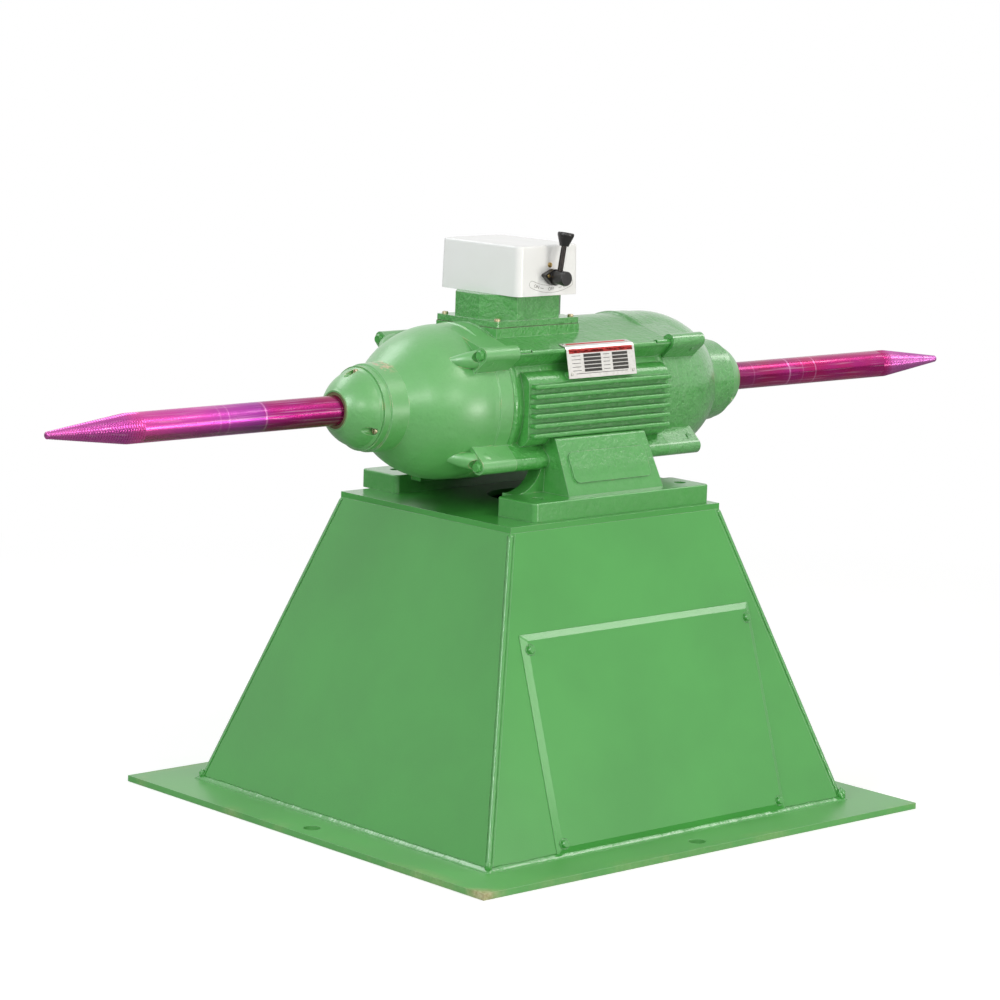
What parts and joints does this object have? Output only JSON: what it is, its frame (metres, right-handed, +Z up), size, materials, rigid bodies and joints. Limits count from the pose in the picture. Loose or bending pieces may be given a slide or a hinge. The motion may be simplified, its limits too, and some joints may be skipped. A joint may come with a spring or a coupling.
{
  "type": "pedestal buffing machine",
  "caption": "Electric buffing motor with a tapered spindle at each end, a drum switch on top and feet on a welded sloping-sided pedestal with an access panel.",
  "frame": {"origin": "on the floor, midway between the spindle tips and midway across the base plate's width", "axes": "+X along the spindle, toward the right as the operator faces the access panel; +Y away from the operator; +Z up"},
  "size_m": [1.644, 0.756, 0.7983],
  "materials": {
    "green_sheet": "satin",
    "green_casting": "gloss",
    "spindle_steel": "ground, with a pink-purple cast",
    "zinc_steel": "zinc plated",
    "lamination_steel": "stacked sheet",
    "bearing_steel": "polished",
    "winding_copper": "varnished copper wire",
    "rotor_aluminium": "cast",
    "seal_felt": "felt",
    "gasket_rubber": "matt",
    "insulator": "moulded",
    "brass": "turned",
    "white_enamel": "gloss",
    "black_plastic": "gloss",
    "plate_aluminium": "printed"
  },
  "bodies": {
    "machine": {"access_panel": "green_sheet", "back_wall": "green_sheet", "base_plate": "green_sheet", "contact_block": "insulator", "contact_fingers": "brass", "front_wall": "green_sheet", "left_bearing_cover": "green_casting", "left_bearing_outer_ring": "bearing_steel", "left_bell_bolts": "zinc_steel", "left_cover_screws": "zinc_steel", "left_end_bell": "green_casting", "left_inner_cap": "zinc_steel", "left_shaft_seal": "seal_felt", "left_wall": "green_sheet", "motor_frame": "green_casting", "panel_bolts": "zinc_steel", "panel_washers": "zinc_steel", "panel_weld_nuts": "zinc_steel", "preload_washer": "zinc_steel", "rating_plate": "plate_aluminium", "rating_plate_rivets": "zinc_steel", "right_bearing_cover": "green_casting", "right_bearing_outer_ring": "bearing_steel", "right_bell_bolts": "zinc_steel", "right_cover_screws": "zinc_steel", "right_end_bell": "green_casting", "right_inner_cap": "zinc_steel", "right_shaft_seal": "seal_felt", "right_wall": "green_sheet", "stator_core": "lamination_steel", "stator_winding": "winding_copper", "switch_base_plate": "zinc_steel", "switch_base_screws": "zinc_steel", "switch_cover": "white_enamel", "switch_cover_screw": "brass", "terminal_block": "insulator", "terminal_body": "green_casting", "terminal_body_screws": "zinc_steel", "terminal_gasket": "gasket_rubber", "terminal_studs": "brass", "top_plate": "green_sheet"},
    "rotor": {"spindle_shaft": "spindle_steel", "rotor_core": "lamination_steel", "rotor_end_rings": "rotor_aluminium", "rotor_key": "zinc_steel", "left_bearing_inner_ring": "bearing_steel", "right_bearing_inner_ring": "bearing_steel"},
    "left_ball_set": {"left_bearing_balls": "bearing_steel", "left_bearing_cage": "brass"},
    "right_ball_set": {"right_bearing_balls": "bearing_steel", "right_bearing_cage": "brass"},
    "switch_handle": {"handle_hub": "black_plastic", "handle_rod": "black_plastic", "handle_knob": "black_plastic", "handle_end_cap": "black_plastic", "handle_grub_screw": "brass", "switch_drum": "insulator"}
  },
  "joints": [
    {"name": "rotor_spin", "type": "hinge", "parent": "machine", "child": "rotor", "pos_m": [0, 0.015, 0.565], "axis": [1, 0, 0], "continuous": true},
    {"name": "left_ball_spin", "type": "hinge", "parent": "machine", "child": "left_ball_set", "pos_m": [-0.3075, 0.015, 0.565], "axis": [1, 0, 0], "continuous": true},
    {"name": "right_ball_spin", "type": "hinge", "parent": "machine", "child": "right_ball_set", "pos_m": [0.3075, 0.015, 0.565], "axis": [1, 0, 0], "continuous": true},
    {"name": "handle_turn", "type": "hinge", "parent": "machine", "child": "switch_handle", "pos_m": [-0.061, -0.065, 0.736], "axis": [0, 1, 0], "range_deg": [-45, 45]}
  ],
  "couplings": [
    {"joint": "left_ball_spin", "follows": "rotor_spin", "ratio": 0.3877},
    {"joint": "right_ball_spin", "follows": "rotor_spin", "ratio": 0.3877}
  ]
}
